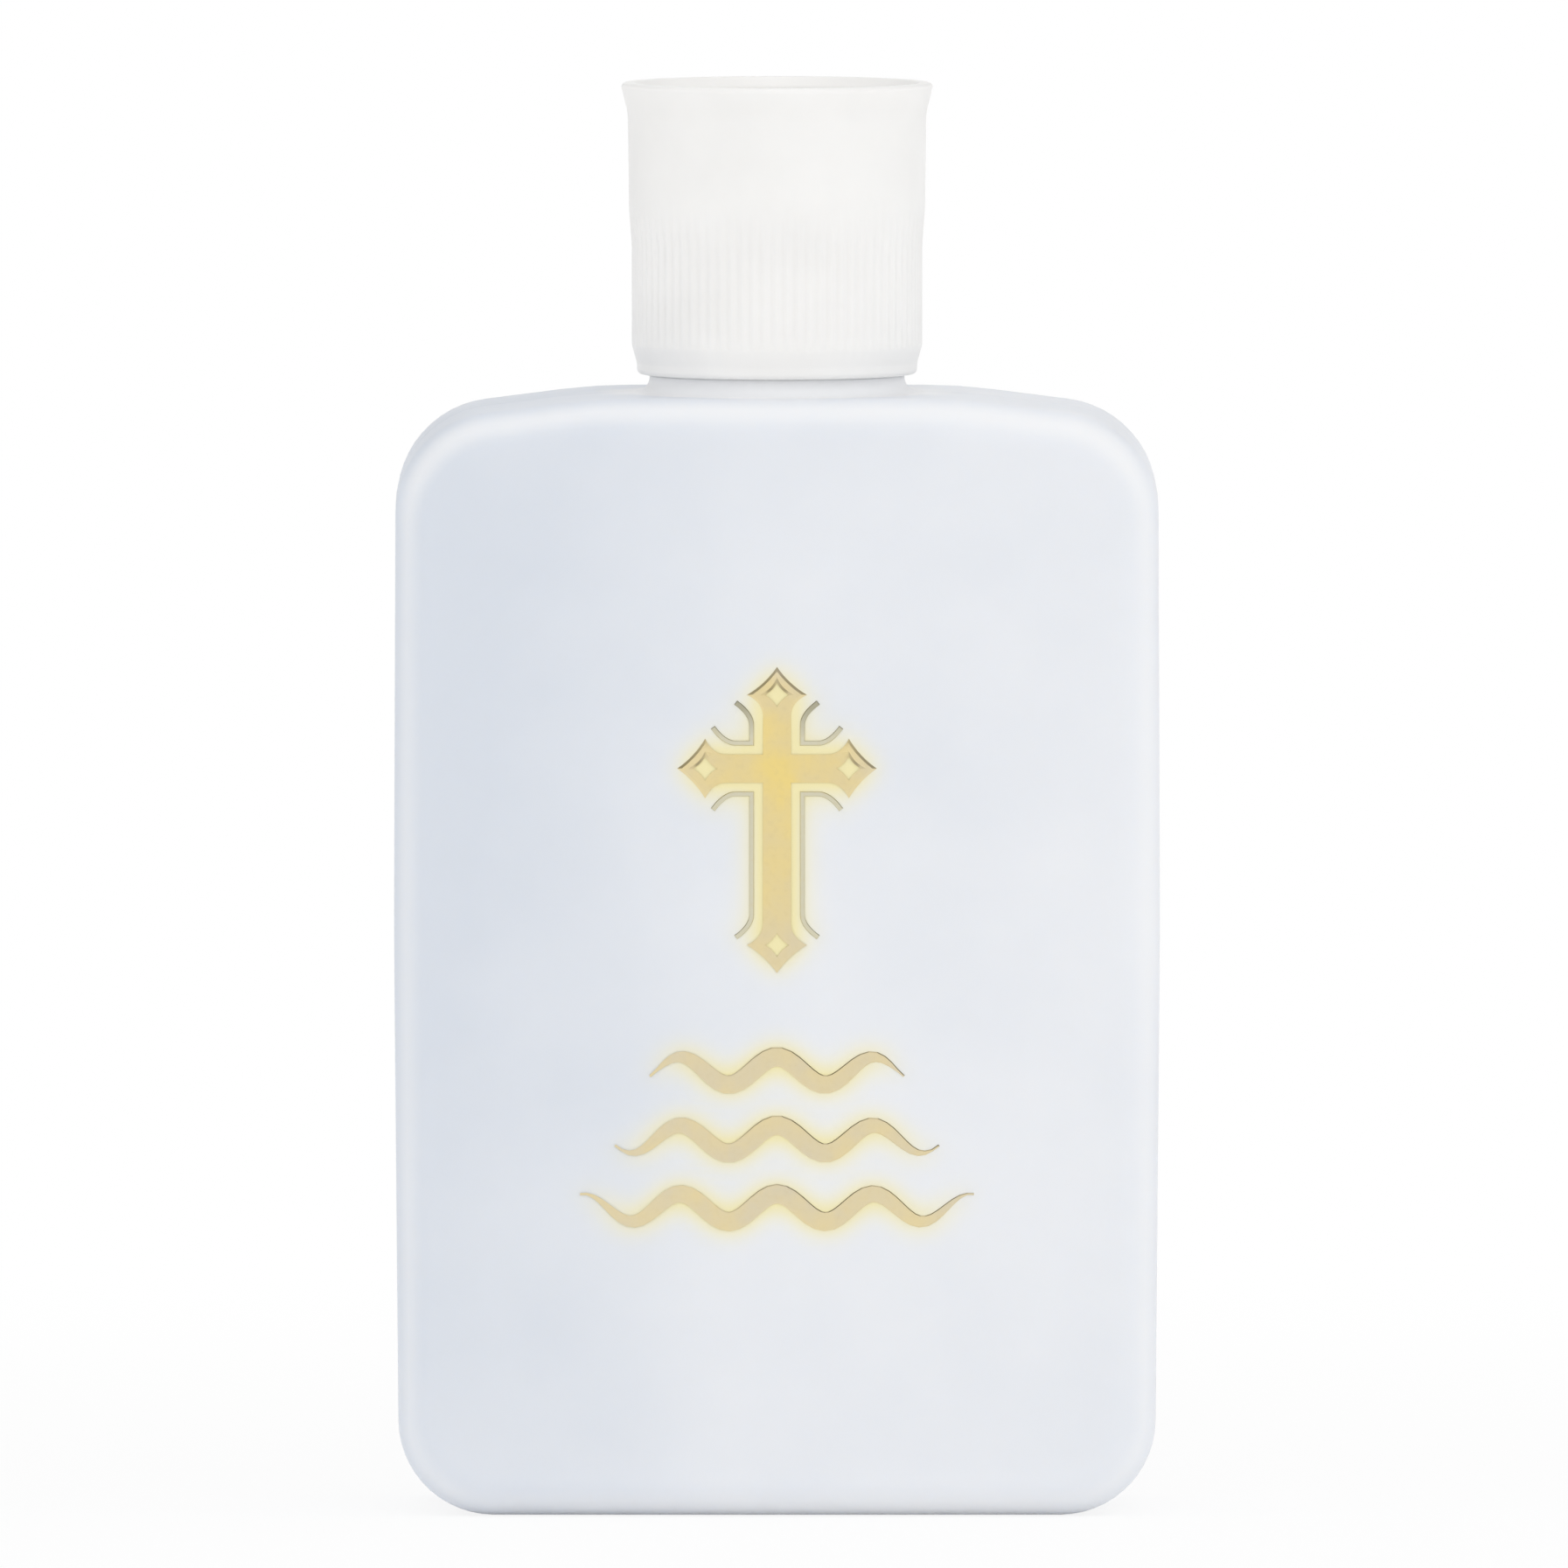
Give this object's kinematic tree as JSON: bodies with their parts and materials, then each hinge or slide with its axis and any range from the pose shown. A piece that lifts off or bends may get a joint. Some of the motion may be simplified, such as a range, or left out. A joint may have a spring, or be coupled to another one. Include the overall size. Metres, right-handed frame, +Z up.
{
  "type": "holy water bottle",
  "caption": "Flat oblong squeeze bottle with a gold foil cross on its front panel and a ribbed screw cap whose recessed top disc tilts to pour.",
  "frame": {"origin": "centre of the base, on the surface that the bottle stands on", "axes": "+Z up along the neck, front panel with the cross towards -Y, width along X"},
  "size_m": [0.0604, 0.0301, 0.1124],
  "materials": {
    "bottle_plastic": "blow-moulded natural polyethylene, milky and softly satin",
    "cap_plastic": "injection-moulded natural polypropylene, satin white",
    "liner_foam": "closed-cell polyethylene foam, dull white",
    "gold_foil": "hot-stamped pale gold foil, soft metallic"
  },
  "bodies": {
    "bottle": {"bottle": "bottle_plastic", "cross_foil": "gold_foil", "cross_line_upper_left": "gold_foil", "cross_line_upper_right": "gold_foil", "cross_line_lower_left": "gold_foil", "cross_line_lower_right": "gold_foil", "ripple_foil_upper": "gold_foil", "ripple_foil_middle": "gold_foil", "ripple_foil_lower": "gold_foil"},
    "liner": {"neck_liner": "liner_foam"},
    "cap": {"cap_shell": "cap_plastic"},
    "disc": {"press_disc": "cap_plastic"}
  },
  "joints": [
    {"name": "cap_lift", "type": "slide", "parent": "bottle", "child": "liner", "axis": [0, 0, 1], "range_m": [0, 0.0048]},
    {"name": "cap_turn", "type": "hinge", "parent": "liner", "child": "cap", "pos_m": [0, 0, 0.0894], "axis": [0, 0, 1], "range_deg": [0, 540]},
    {"name": "disc_tilt", "type": "hinge", "parent": "cap", "child": "disc", "pos_m": [0, 0, 0.11055], "axis": [-1, 0, 0], "range_deg": [0, 27]}
  ],
  "couplings": [
    {"joint": "cap_lift", "follows": "cap_turn", "m_per_rad": 0.00050532}
  ]
}
